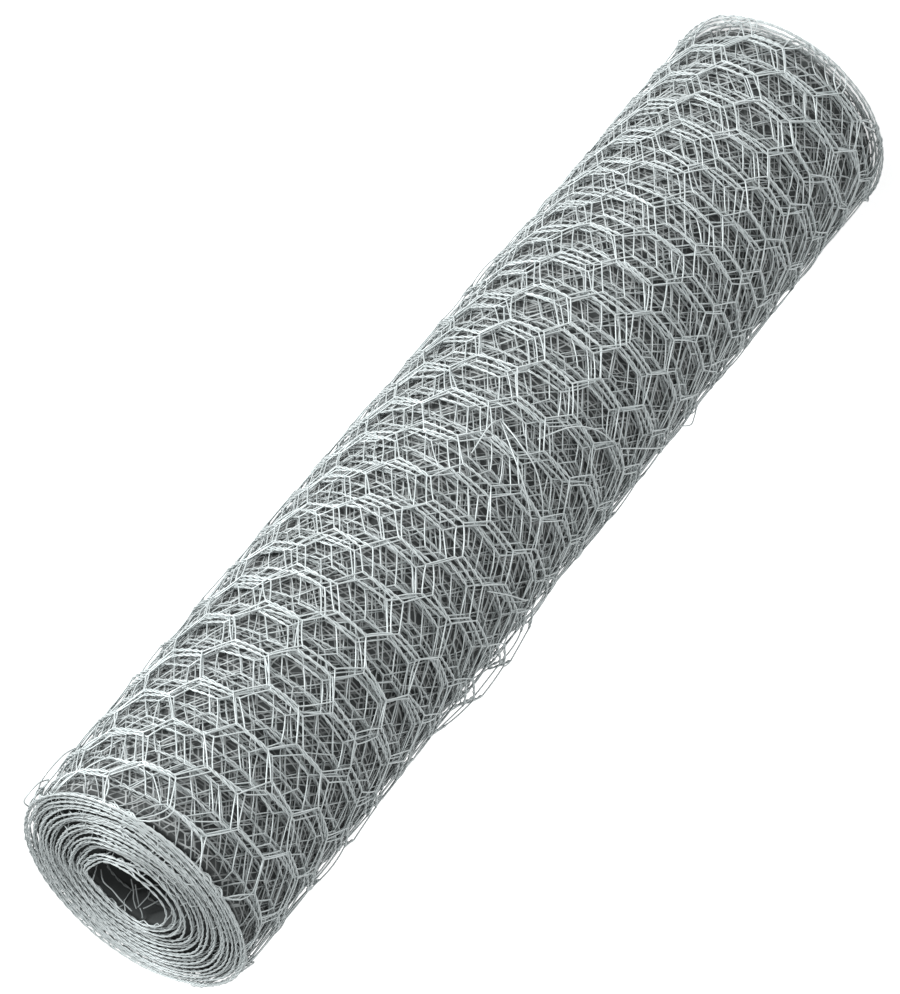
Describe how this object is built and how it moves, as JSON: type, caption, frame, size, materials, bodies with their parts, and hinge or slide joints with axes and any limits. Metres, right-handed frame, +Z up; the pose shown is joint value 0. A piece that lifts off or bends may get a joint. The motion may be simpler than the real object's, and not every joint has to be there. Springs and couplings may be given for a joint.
{
  "type": "roll of chicken wire",
  "caption": "Roll of galvanized hexagonal wire netting, wound round an open bore and standing on its end.",
  "frame": {"origin": "under the middle of the roll's outline, on the floor that it stands on", "axes": "+Z up along the roll, which is across the netting; the free end of the netting runs up it between the -X and +Y sides"},
  "size_m": [0.1319, 0.131, 0.6],
  "materials": {
    "galvanized_wire": "hot dip galvanized wire, satin and slightly mottled"
  },
  "bodies": {
    "root": {"netting_roll": "galvanized_wire"}
  },
  "joints": []
}
